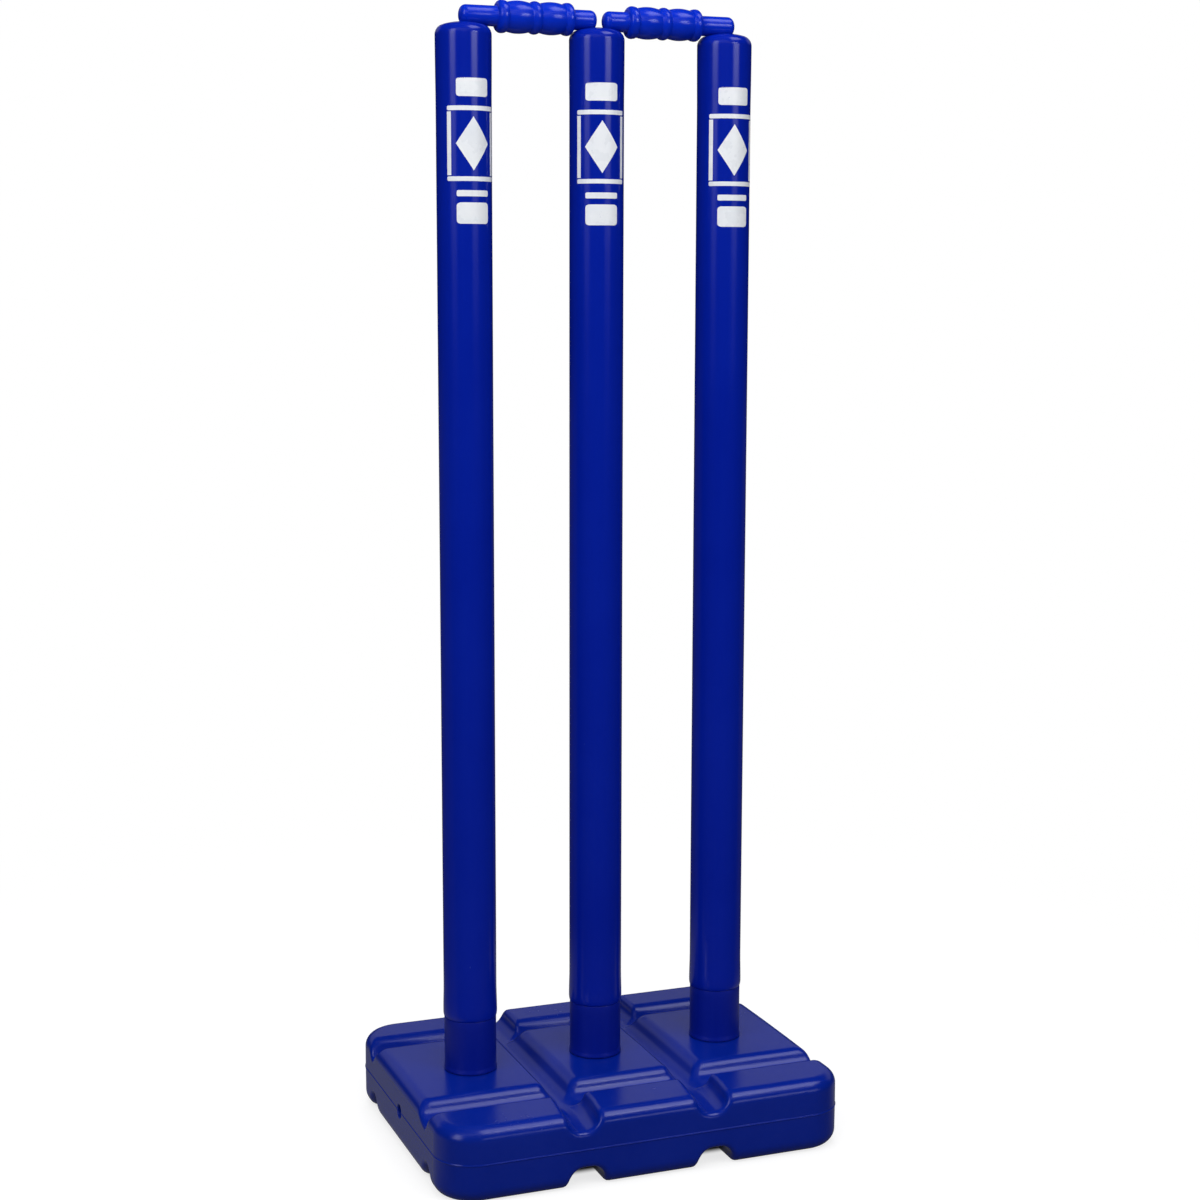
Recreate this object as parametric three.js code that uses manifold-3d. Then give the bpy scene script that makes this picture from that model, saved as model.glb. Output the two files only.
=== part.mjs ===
// A free-standing cricket wicket: three stumps in a hollow moulded stand, with two bails on top.
// X runs along the wicket, -Y is the front, +Z is up, and the origin is the middle of the underside.
// Sizes are in millimetres and angles in degrees.

import * as THREE from "three";
import { mergeVertices } from "three/addons/utils/BufferGeometryUtils.js";
import Module from "manifold-3d";

const wasm = await Module();
wasm.setup();

// Shared sizes
const stumpSpacing = 95.25;
const fitGap = 0.3;
const cutOverrun = 5;

// The stand: its reach beyond the outer stumps, outline, edges and wall
const standEndReach = 54.25;
const standDepth = 227.5;
const standHeight = 52.7;
const standCornerRadius = 28.4;
const standTopRadius = 9.2;
const standFootRadius = 10.3;
const standDraft = 0.5;
const standWall = 3;
const seamHeight = 27.8;
const seamWidth = 1.4;
const seamProud = 0.4;

// The stand's troughs: each has a shoulder at both edges and rounded floor corners, and runs out
// through a wall over a rounded lip. The top's front groove reaches further in than its back one.
const lipRadius = 3.5;
const topGroove = {
  inner: 57,
  outer: 78,
  innerSlope: 50,
  outerSlope: 60,
  depth: 12.5,
  shoulder: 5,
  floor: 2.5,
};
const topFrontGroove = { ...topGroove, inner: 49.5, outer: 75, innerSlope: 58, shoulder: 8 };
const footGroove = {
  inner: 54,
  outer: 80,
  innerSlope: 55,
  outerSlope: 60,
  depth: 14.5,
  shoulder: 5,
  floor: 5,
};
const topChannel = { halfWidth: 11.5, slope: 60, depth: 12.5, shoulder: 9, floor: 4 };
const footChannel = { halfWidth: 12.5, slope: 65, depth: 14.5, shoulder: 6, floor: 5 };
const topNotch = { halfWidth: 13.5, slope: 80, depth: 12.5, shoulder: 3, floor: 9.5 };
const footNotch = { halfWidth: 14, slope: 80, depth: 15, shoulder: 3, floor: 10 };

// The blow hole in the stand's left wall, on the seam
const blowHoleRadius = 4.75;
const blowHolePlace = -2.3;

// The foot of a stump: a peg in the stand, a collar that stands on it and a spigot inside the tube.
// The collar lies a little inside the tube's outline, and the peg inside the collar by a ledge.
const collarInset = 0.35;
const collarLedge = 3.4;
const pegLength = 34;
const pegEase = 1.5;
const collarHeight = 38.4;
const collarFlare = 0.5;
const collarFlareHeight = 3;
const collarEase = 0.8;
const spigotLength = 32;
const footWall = 2.6;

// The tube of a stump
const tubeRadius = 18.75;
const tubeWall = 2.2;
const tubeTop = 778.9;
const tubeEndFlare = 0.35;
const tubeEndFlareHeight = 20;
const tubeEndEase = 0.9;
const tubeEndEaseHeight = 4;
const headFlare = 0.25;
const headFlareHeight = 40;
const headShoulder = 7;
const headCrownRadius = 50;
const bailGrooveDepth = 2.6;

// A bail, turned about its own length. Its barrel fits between two stump heads, its short spigot ends
// near the middle stump's axis and its long one runs past the outer stump's axis.
const barrelGap = 1.625;
const bailTipGap = 6.2;
const bailOverhang = 5.4;
const bailSpigotRadius = 6.8;
const bailTipRound = 4.2;
const bailTipCrown = 0.5;
const barrelNeckRadius = 9.6;
const endBeadRadius = 10.9;
const endBeadWidth = 6.9;
const endBeadNose = 3.4;
const endBeadStep = 0.9;
const middleBeadRadius = 10.95;
const middleBeadWidth = 7;
const bulgeRadius = 10.85;

// How far each bail lies along X from the middle of its pair of stumps
const bailLeftShift = 2.4;
const bailRightShift = 1.1;

// How finely round forms are faceted
const largeSides = 30;
const smallSides = 20;
const cornerSteps = 6;
const edgeSteps = 4;
const roundSteps = 4;
const troughSteps = 3;
const lipSteps = 3;
const tipSteps = 3;
const swellSteps = 2;
const bulgeSteps = 4;
const beadSteps = 4;

const quarterTurn = Math.PI / 2;
const radians = THREE.MathUtils.degToRad;

// Sizes that follow from the ones above
const standLength = 2 * (stumpSpacing + standEndReach);
const stumpPlaces = [-stumpSpacing, 0, stumpSpacing];
const collarRadius = tubeRadius - collarInset;
const pegRadius = collarRadius - collarLedge;
const collarFoot = standHeight + fitGap;
const collarTop = collarFoot + collarHeight;
const tubeFoot = collarTop + fitGap;
const headRadius = tubeRadius + headFlare;
const barrelFromStump = headRadius + barrelGap;
const barrelLength = stumpSpacing - 2 * barrelFromStump;
const bailShortSpigot = barrelFromStump - bailTipGap / 2;
const bailLongSpigot = barrelFromStump + bailOverhang;
const bailAxis = tubeTop - bailGrooveDepth + bailSpigotRadius + fitGap;

// Solids

// A closed geometry as a solid that can be cut and joined.
function solidFrom(geometry) {
  const bare = geometry.clone();
  bare.deleteAttribute("normal");
  bare.deleteAttribute("uv");
  const welded = mergeVertices(bare);
  const mesh = new wasm.Mesh({
    numProp: 3,
    vertProperties: new Float32Array(welded.attributes.position.array),
    triVerts: new Uint32Array(welded.index.array),
  });
  return new wasm.Manifold(mesh);
}

function geometryFrom(solid) {
  const mesh = solid.getMesh();
  const geometry = new THREE.BufferGeometry();
  const places = new Float32Array(mesh.vertProperties);
  geometry.setAttribute("position", new THREE.BufferAttribute(places, mesh.numProp));
  geometry.setIndex(new THREE.BufferAttribute(new Uint32Array(mesh.triVerts), 1));
  geometry.computeVertexNormals();
  return geometry;
}

// A round bar from one height to another, upright at the given place.
function uprightBar(radius, from, to, x) {
  const bar = new THREE.CylinderGeometry(radius, radius, to - from, largeSides);
  bar.rotateX(quarterTurn);
  bar.translate(x, 0, (from + to) / 2);
  return solidFrom(bar);
}

// A round bar along X between two places, at the given y and z.
function levelBar(radius, from, to, y, z) {
  const bar = new THREE.CylinderGeometry(radius, radius, to - from, smallSides);
  bar.rotateZ(quarterTurn);
  bar.translate((from + to) / 2, y, z);
  return solidFrom(bar);
}

// Outlines

// Rounds the corners of an open path; each corner is { x, y, round }.
function roundedPath(corners) {
  const points = [];
  corners.forEach((corner, index) => {
    const place = new THREE.Vector2(corner.x, corner.y);
    const before = corners[index - 1];
    const after = corners[index + 1];
    if (!before || !after || !corner.round) {
      points.push(place);
      return;
    }
    const back = new THREE.Vector2(before.x, before.y).sub(place).normalize();
    const ahead = new THREE.Vector2(after.x, after.y).sub(place).normalize();
    const halfAngle = Math.acos(back.dot(ahead)) / 2;
    const inward = back.clone().add(ahead).normalize();
    const centre = place.clone().addScaledVector(inward, corner.round / Math.sin(halfAngle));
    const start = place.clone().addScaledVector(back, corner.round / Math.tan(halfAngle)).sub(centre);
    const end = place.clone().addScaledVector(ahead, corner.round / Math.tan(halfAngle)).sub(centre);
    const sweep = Math.atan2(start.cross(end), start.dot(end));
    for (let step = 0; step <= troughSteps; step++) {
      const turned = start.clone().rotateAround(new THREE.Vector2(), (sweep * step) / troughSteps);
      points.push(turned.add(centre));
    }
  });
  return points;
}

// Moves an open path to its right and keeps its headings.
function offsetPath(corners, distance) {
  const headings = corners.slice(1).map((corner, index) => {
    return new THREE.Vector2(corner.x - corners[index].x, corner.y - corners[index].y).normalize();
  });
  return corners.map((corner, index) => {
    const before = headings[Math.max(index - 1, 0)];
    const after = headings[Math.min(index, headings.length - 1)];
    const spread = 1 + before.dot(after);
    return {
      x: corner.x + ((before.y + after.y) * distance) / spread,
      y: corner.y - ((before.x + after.x) * distance) / spread,
      round: corner.round,
    };
  });
}

// The cross-section of a trough cut into a flat face at height 0, grown outwards all round.
function troughSection({ left, right, leftSlope, rightSlope, depth, shoulder, floor }, growth, rounded) {
  const shoulderRound = rounded ? shoulder : 0;
  const floorRound = rounded ? floor : 0;
  const corners = [
    { x: left - shoulder - cutOverrun, y: 0, round: 0 },
    { x: left, y: 0, round: shoulderRound },
    { x: left + depth / Math.tan(radians(leftSlope)), y: -depth, round: floorRound },
    { x: right - depth / Math.tan(radians(rightSlope)), y: -depth, round: floorRound },
    { x: right, y: 0, round: shoulderRound },
    { x: right + shoulder + cutOverrun, y: 0, round: 0 },
  ];
  const path = roundedPath(offsetPath(corners, growth)).slice(1, -1);
  const first = path[0];
  const last = path[path.length - 1];
  path.push(new THREE.Vector2(last.x, cutOverrun));
  path.push(new THREE.Vector2(first.x, cutOverrun));
  return path;
}

// A groove lies off to one side, and a channel or notch is even about its own middle.
function evenTrough(channel) {
  const edges = { left: -channel.halfWidth, right: channel.halfWidth };
  const slopes = { leftSlope: channel.slope, rightSlope: channel.slope };
  return { ...channel, ...edges, ...slopes };
}

function sideTrough(groove) {
  const edges = { left: groove.inner, right: groove.outer };
  const slopes = { leftSlope: groove.innerSlope, rightSlope: groove.outerSlope };
  return { ...groove, ...edges, ...slopes };
}

// Places a section on the stand's top or, turned over, on its underside.
function onTop(section) {
  return section.map((point) => new THREE.Vector2(point.x, standHeight + point.y));
}

function underneath(section) {
  return section.map((point) => new THREE.Vector2(point.x, -point.y));
}

// A solid from a stack of rings of [x, y, z] points, each ring anticlockwise seen from above, with a
// flat face at each end.
function ringStack(rings) {
  const around = rings[0].length;
  const faces = [];
  for (let level = 0; level < rings.length - 1; level++) {
    for (let index = 0; index < around; index++) {
      const next = (index + 1) % around;
      const low = level * around;
      const high = low + around;
      faces.push(low + index, low + next, high + next);
      faces.push(low + index, high + next, high + index);
    }
  }
  const last = (rings.length - 1) * around;
  for (const [a, b, c] of flatFaces(rings[0])) {
    faces.push(c, b, a);
  }
  for (const [a, b, c] of flatFaces(rings[rings.length - 1])) {
    faces.push(last + a, last + b, last + c);
  }
  const geometry = new THREE.BufferGeometry();
  geometry.setAttribute("position", new THREE.Float32BufferAttribute(rings.flat(2), 3));
  geometry.setIndex(faces);
  return geometry;
}

// The triangles that fill a flat ring.
function flatFaces(ring) {
  const outline = ring.map(([x, y]) => new THREE.Vector2(x, y));
  return THREE.ShapeUtils.triangulateShape(outline, []);
}

// How a trough grows towards a wall to leave a rounded lip: steps of growth and of distance from the
// wall, starting where the growth starts. The last step lies outside the wall.
function lip() {
  const steps = [];
  for (let step = 0; step <= lipSteps; step++) {
    const turn = (quarterTurn * step) / lipSteps;
    const inside = lipRadius * (1 - Math.sin(turn));
    steps.push({ growth: lipRadius * (1 - Math.cos(turn)), inside: standDraft + inside });
  }
  steps.push({ growth: lipRadius, inside: -cutOverrun });
  return steps;
}

// The stations of a trough that runs from one place to another, with a lip where it meets a wall.
function stations(from, to, lipAtStart, lipAtEnd) {
  const rounds = lip();
  const first = rounds.map(({ growth, inside }) => ({ growth, place: from + inside })).reverse();
  const last = rounds.map(({ growth, inside }) => ({ growth, place: to - inside }));
  return [
    ...(lipAtStart ? first : [{ growth: 0, place: from }]),
    ...(lipAtEnd ? last : [{ growth: 0, place: to }]),
  ];
}

// A bar through a trough's sections at its stations, along its own Z. Inside the stand, where there is
// a skin thickness, the corners stay plain and there is no lip.
function troughBar(trough, turnOver, skin, run) {
  const rings = run.map(({ growth, place }) => {
    const section = turnOver(troughSection(trough, skin > 0 ? skin : growth, skin === 0));
    const ring = section.map((point) => [point.x, point.y, place]);
    return THREE.ShapeUtils.isClockWise(section) ? ring.reverse() : ring;
  });
  return ringStack(rings);
}

// The stand

// A bar's own Z turned to X with its section in Y and Z, and to -Y with its section in X and Z.
const alongX = new THREE.Matrix4().makeBasis(
  new THREE.Vector3(0, 1, 0),
  new THREE.Vector3(0, 0, 1),
  new THREE.Vector3(1, 0, 0),
);
const alongY = new THREE.Matrix4().makeRotationX(quarterTurn);

// The stand's side from its underside to its top: how far in each ring lies, and how high.
function sideProfile(skin) {
  const profile = [];
  const footRound = standFootRadius - skin;
  const topRound = standTopRadius - skin;
  for (let step = 0; step <= edgeSteps; step++) {
    const turn = (quarterTurn * step) / edgeSteps;
    profile.push({
      inset: skin + standDraft + footRound * (1 - Math.sin(turn)),
      height: skin + footRound * (1 - Math.cos(turn)),
    });
  }
  if (skin === 0) {
    profile.push({ inset: seamProud, height: seamHeight - seamWidth / 2 });
    profile.push({ inset: 0, height: seamHeight });
    profile.push({ inset: seamProud, height: seamHeight + seamWidth / 2 });
  } else {
    profile.push({ inset: skin + seamProud, height: seamHeight });
  }
  for (let step = 0; step <= edgeSteps; step++) {
    const turn = (quarterTurn * step) / edgeSteps;
    profile.push({
      inset: skin + standDraft + topRound * (1 - Math.cos(turn)),
      height: standHeight - skin - topRound * (1 - Math.sin(turn)),
    });
  }
  return profile;
}

// The points of a rounded rectangle, anticlockwise seen from above.
function ringPoints(inset, height) {
  const points = [];
  const across = standLength / 2 - standCornerRadius;
  const along = standDepth / 2 - standCornerRadius;
  const radius = standCornerRadius - inset;
  const signs = [[1, 1], [-1, 1], [-1, -1], [1, -1]];
  signs.forEach(([signX, signY], corner) => {
    for (let step = 0; step <= cornerSteps; step++) {
      const turn = quarterTurn * (corner + step / cornerSteps);
      points.push([
        signX * across + radius * Math.cos(turn),
        signY * along + radius * Math.sin(turn),
        height,
      ]);
    }
  });
  return points;
}

// The stand's body drawn in by a skin thickness: 0 gives its outside and the wall gives its hollow.
function standBody(skin) {
  const rings = sideProfile(skin).map(({ inset, height }) => ringPoints(inset, height));
  let body = solidFrom(ringStack(rings));
  const faces = [
    { turnOver: onTop, back: topGroove, front: topFrontGroove, channel: topChannel, notch: topNotch },
    { turnOver: underneath, back: footGroove, front: footGroove, channel: footChannel, notch: footNotch },
  ];
  const end = standLength / 2;
  const rim = standDepth / 2;
  for (const { turnOver, back, front, channel, notch } of faces) {
    const meeting = (back.inner + back.outer) / 2;
    const run = stations(-meeting, meeting, false, false);
    const channelBar = troughBar(evenTrough(channel), turnOver, skin, run);
    const notchBar = troughBar(evenTrough(notch), turnOver, skin, stations(-rim, -meeting, true, false));
    channelBar.applyMatrix4(alongY);
    notchBar.applyMatrix4(alongY);
    for (const [turn, groove] of [[0, back], [Math.PI, front]]) {
      const grooveBar = troughBar(sideTrough(groove), turnOver, skin, stations(-end, end, true, true));
      grooveBar.applyMatrix4(alongX);
      body = body.subtract(solidFrom(grooveBar.rotateZ(turn)));
      for (const x of [-stumpSpacing / 2, stumpSpacing / 2]) {
        body = body.subtract(solidFrom(notchBar.clone().rotateZ(turn).translate(x, 0, 0)));
      }
    }
    for (const x of [-stumpSpacing / 2, stumpSpacing / 2]) {
      body = body.subtract(solidFrom(channelBar.clone().translate(x, 0, 0)));
    }
  }
  return body;
}

function makeStand() {
  const socketRadius = pegRadius + fitGap;
  const socketFloor = standHeight - pegLength - fitGap;
  let hollow = standBody(standWall);
  for (const x of stumpPlaces) {
    const cup = uprightBar(socketRadius + standWall, socketFloor - standWall, standHeight, x);
    hollow = hollow.subtract(cup);
  }
  let stand = standBody(0).subtract(hollow);
  for (const x of stumpPlaces) {
    stand = stand.subtract(uprightBar(socketRadius, socketFloor, standHeight + cutOverrun, x));
  }
  const outside = -standLength / 2 - cutOverrun;
  const inside = -standLength / 2 + standWall + cutOverrun;
  stand = stand.subtract(levelBar(blowHoleRadius, outside, inside, blowHolePlace, seamHeight));
  return geometryFrom(stand);
}

// The stumps

// A solid turned about Z from a profile of [radius, height] pairs.
function turned(profile, sides) {
  const outline = profile.map(([radius, height]) => new THREE.Vector2(radius, height));
  const lathe = new THREE.LatheGeometry(outline, sides);
  lathe.rotateX(quarterTurn);
  return lathe;
}

// A stump's foot, open right through.
function makeFoot() {
  const bore = pegRadius - footWall;
  const spigotRadius = tubeRadius - tubeWall - fitGap;
  const spigotTop = collarTop + spigotLength;
  const profile = [
    [bore, standHeight - pegLength],
    [pegRadius - pegEase, standHeight - pegLength],
    [pegRadius, standHeight - pegLength + pegEase],
    [pegRadius, collarFoot],
    [collarRadius + collarFlare, collarFoot],
    [collarRadius, collarFoot + collarFlareHeight],
    [collarRadius, collarTop - collarEase],
    [collarRadius - collarEase, collarTop],
    [spigotRadius, collarTop],
    [spigotRadius, spigotTop - pegEase],
    [spigotRadius - pegEase, spigotTop],
    [bore, spigotTop],
    [bore, standHeight - pegLength],
  ];
  return geometryFrom(solidFrom(turned(profile, largeSides)));
}

// A stump's tube: open below, closed by a rounded head with a groove for the bails.
function makeTube() {
  const bore = tubeRadius - tubeWall;
  const flareRadius = tubeRadius + tubeEndFlare;
  const flareFoot = tubeFoot + tubeEndEaseHeight;
  const crownCentre = tubeTop - headCrownRadius;
  const crownTurn = Math.asin((headRadius - headShoulder) / (headCrownRadius - headShoulder));
  const shoulderHeight = crownCentre + (headCrownRadius - headShoulder) * Math.cos(crownTurn);
  const profile = [
    [0, shoulderHeight],
    [bore - tubeWall, shoulderHeight],
    [bore, shoulderHeight - tubeWall],
    [bore, tubeFoot],
  ];
  for (let step = 0; step < tipSteps; step++) {
    const turn = (quarterTurn * step) / tipSteps;
    profile.push([
      flareRadius - tubeEndEase * (1 - Math.sin(turn)),
      flareFoot - tubeEndEaseHeight * Math.cos(turn),
    ]);
  }
  for (let step = 0; step <= swellSteps; step++) {
    const share = step / swellSteps;
    const swell = (tubeEndFlare * (1 + Math.cos(Math.PI * share))) / 2;
    profile.push([tubeRadius + swell, flareFoot + tubeEndFlareHeight * share]);
  }
  for (let step = 0; step <= swellSteps; step++) {
    const share = step / swellSteps;
    const swell = headFlare * Math.sin(quarterTurn * share);
    profile.push([tubeRadius + swell, shoulderHeight - headFlareHeight * (1 - share)]);
  }
  for (let step = 1; step <= roundSteps; step++) {
    const turn = ((quarterTurn - crownTurn) * step) / roundSteps;
    profile.push([
      headRadius - headShoulder * (1 - Math.cos(turn)),
      shoulderHeight + headShoulder * Math.sin(turn),
    ]);
  }
  for (let step = 1; step <= tipSteps; step++) {
    const turn = crownTurn * (1 - step / tipSteps);
    profile.push([headCrownRadius * Math.sin(turn), crownCentre + headCrownRadius * Math.cos(turn)]);
  }
  const blank = solidFrom(turned(profile, largeSides));
  const reach = headRadius + cutOverrun;
  const groove = levelBar(bailSpigotRadius + fitGap, -reach, reach, 0, bailAxis);
  return geometryFrom(blank.subtract(groove));
}

// The bails

// Half of a barrel, from its end to its middle, as [radius, place] pairs: end bead, bulge, half a bead.
function halfBarrel() {
  const half = [];
  const noseRadius = bailSpigotRadius + endBeadStep;
  for (let step = 0; step <= roundSteps; step++) {
    const turn = (quarterTurn * step) / roundSteps;
    half.push([
      noseRadius + (endBeadRadius - noseRadius) * Math.sin(turn),
      endBeadNose * (1 - Math.cos(turn)),
    ]);
  }
  for (let step = 1; step < tipSteps; step++) {
    const turn = (quarterTurn * step) / tipSteps;
    half.push([
      barrelNeckRadius + (endBeadRadius - barrelNeckRadius) * Math.cos(turn),
      endBeadNose + (endBeadWidth - endBeadNose) * Math.sin(turn),
    ]);
  }
  const bulgeEnd = (barrelLength - middleBeadWidth) / 2;
  half.push(...arch(endBeadWidth, bulgeEnd, barrelNeckRadius, bulgeRadius, bulgeSteps));
  const middle = arch(bulgeEnd, bulgeEnd + middleBeadWidth, barrelNeckRadius, middleBeadRadius, beadSteps);
  half.push(...middle.slice(1, beadSteps / 2 + 1));
  return half;
}

// A shallow arch of [radius, place] pairs that rises from a low radius to a high one and back.
function arch(from, to, low, high, steps) {
  const points = [];
  for (let step = 0; step <= steps; step++) {
    const share = step / steps;
    const rise = 1 - (2 * share - 1) ** 2;
    points.push([low + (high - low) * rise, from + (to - from) * share]);
  }
  return points;
}

// A spigot tip with a rounded edge as [radius, distance from the tip] pairs, starting on the axis.
function spigotTip() {
  const tip = [[0, 0]];
  for (let step = 0; step <= tipSteps; step++) {
    const turn = (quarterTurn * step) / tipSteps;
    tip.push([
      bailSpigotRadius - bailTipRound * (1 - Math.sin(turn)),
      bailTipCrown + bailTipRound * (1 - Math.cos(turn)),
    ]);
  }
  return tip;
}

// A bail along X, its short spigot towards -X, with the middle of its barrel at 0.
function makeBail() {
  const length = bailShortSpigot + barrelLength + bailLongSpigot;
  const half = halfBarrel();
  const profile = spigotTip();
  profile.push([bailSpigotRadius, bailShortSpigot]);
  for (const [radius, place] of half) {
    profile.push([radius, bailShortSpigot + place]);
  }
  for (const [radius, place] of half.slice(0, -1).reverse()) {
    profile.push([radius, bailShortSpigot + barrelLength - place]);
  }
  profile.push([bailSpigotRadius, bailShortSpigot + barrelLength]);
  for (const [radius, place] of spigotTip().reverse()) {
    profile.push([radius, length - place]);
  }
  const bail = turned(profile, smallSides);
  bail.rotateY(quarterTurn);
  bail.translate(-bailShortSpigot - barrelLength / 2, 0, 0);
  return geometryFrom(solidFrom(bail));
}

// Finishes
const standPlastic = new THREE.MeshStandardMaterial({ color: 0x0a1e82, roughness: 0.45, metalness: 0 });
const stumpPlastic = new THREE.MeshStandardMaterial({ color: 0x06208c, roughness: 0.35, metalness: 0 });
const bailPlastic = new THREE.MeshStandardMaterial({ color: 0x0830b4, roughness: 0.35, metalness: 0 });

// The whole wicket
const wicket = new THREE.Group();

function addPiece(name, geometry, material, x, z) {
  const piece = new THREE.Mesh(geometry, material.clone());
  piece.name = name;
  piece.position.set(x, 0, z);
  wicket.add(piece);
  return piece;
}

addPiece("base", makeStand(), standPlastic, 0, 0);

const sides = ["left", "middle", "right"];
const foot = makeFoot();
const tube = makeTube();
sides.forEach((side, index) => {
  addPiece(`stump_foot_${side}`, foot, stumpPlastic, stumpPlaces[index], 0);
  addPiece(`stump_tube_${side}`, tube, stumpPlastic, stumpPlaces[index], 0);
});

const bail = makeBail();
addPiece("bail_right", bail, bailPlastic, stumpSpacing / 2 + bailRightShift, bailAxis);
const bailLeft = addPiece("bail_left", bail, bailPlastic, bailLeftShift - stumpSpacing / 2, bailAxis);
bailLeft.rotation.z = Math.PI;

export default wicket;
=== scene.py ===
import math
from collections import namedtuple
import bmesh
import bpy
import numpy as np
from mathutils import Matrix, Vector


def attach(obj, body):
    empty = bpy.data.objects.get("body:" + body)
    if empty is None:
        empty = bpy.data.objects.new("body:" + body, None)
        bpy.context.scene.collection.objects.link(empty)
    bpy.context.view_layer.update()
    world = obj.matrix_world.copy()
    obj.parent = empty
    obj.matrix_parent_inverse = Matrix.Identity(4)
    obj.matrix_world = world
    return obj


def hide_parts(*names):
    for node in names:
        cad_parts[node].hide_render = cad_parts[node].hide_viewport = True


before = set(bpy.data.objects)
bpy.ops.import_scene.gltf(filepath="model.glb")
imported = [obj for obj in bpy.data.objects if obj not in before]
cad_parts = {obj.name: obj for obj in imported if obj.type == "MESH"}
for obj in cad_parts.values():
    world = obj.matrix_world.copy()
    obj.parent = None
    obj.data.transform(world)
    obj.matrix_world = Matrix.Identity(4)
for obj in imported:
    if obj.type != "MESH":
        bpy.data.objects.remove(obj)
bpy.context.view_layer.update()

scene = bpy.context.scene
MM = 0.001

# Sizes in millimetres, the same as the solids'. What is round is given by its radius
SPACING = 95.25
FIT_GAP = 0.3
HALF_LENGTH = 149.5
HALF_DEPTH = 113.75
STAND_HEIGHT = 52.7
CORNER = 28.4
TOP_EDGE = 9.2
FOOT_EDGE = 10.3
SEAM_HEIGHT = 27.8
BLOW_HOLE = 4.75
BLOW_HOLE_PLACE = -2.3
PEG = 15.0
PEG_LENGTH = 34.0
PEG_EASE = 1.5
FOOT_WALL = 2.6
COLLAR = 18.4
COLLAR_FOOT = 53.0
COLLAR_TOP = 91.4
COLLAR_FLARE = 0.5
TUBE_SPIGOT_LENGTH = 32.0
TUBE_FOOT = 91.7
TUBE = 18.75
TUBE_BORE = 16.55
TUBE_TOP = 778.9
TUBE_END_FLARE = 0.35
TUBE_END_FLARE_HEIGHT = 20.0
TUBE_END_EASE = 0.9
TUBE_END_EASE_HEIGHT = 4.0
HEAD = 19.0
HEAD_FLARE = 0.25
HEAD_FLARE_HEIGHT = 40.0
HEAD_CROWN = 50.0
HEAD_SHOULDER = 7.0
BAIL_GROOVE_DEPTH = 2.6
BAIL_SPIGOT = 6.8
BAIL_AXIS = TUBE_TOP - BAIL_GROOVE_DEPTH + BAIL_SPIGOT + FIT_GAP
STUMPS = {"left": -SPACING, "middle": 0.0, "right": SPACING}

# The camera that was fitted to the photo: metres, radians, and pixels of the photo
CAMERA_PLACE = (-0.5373138, -1.4000879, 0.6096063)
YAW, PITCH, ROLL = 0.36841260, -0.14860761, 0.00201274
FOCAL_LENGTH = 2142.1433
PHOTO_WIDTH = 1200.0
SENSOR_WIDTH = 36.0


def set_camera():
    level = math.cos(PITCH)
    forward = Vector((math.sin(YAW) * level, math.cos(YAW) * level, math.sin(PITCH)))
    flat = Vector((math.cos(YAW), -math.sin(YAW), 0.0))
    lift = flat.cross(forward)
    right = flat * math.cos(ROLL) + lift * math.sin(ROLL)
    up = lift * math.cos(ROLL) - flat * math.sin(ROLL)
    camera = bpy.data.objects.new("camera", bpy.data.cameras.new("camera"))
    scene.collection.objects.link(camera)
    camera.data.sensor_fit = "HORIZONTAL"
    camera.data.sensor_width = SENSOR_WIDTH
    camera.data.lens = SENSOR_WIDTH * FOCAL_LENGTH / PHOTO_WIDTH
    camera.data.clip_start = 0.05
    camera.data.clip_end = 60.0
    rotation = Matrix((right, up, -forward)).transposed().to_4x4()
    camera.matrix_world = Matrix.Translation(CAMERA_PLACE) @ rotation
    scene.camera = camera


set_camera()


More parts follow.
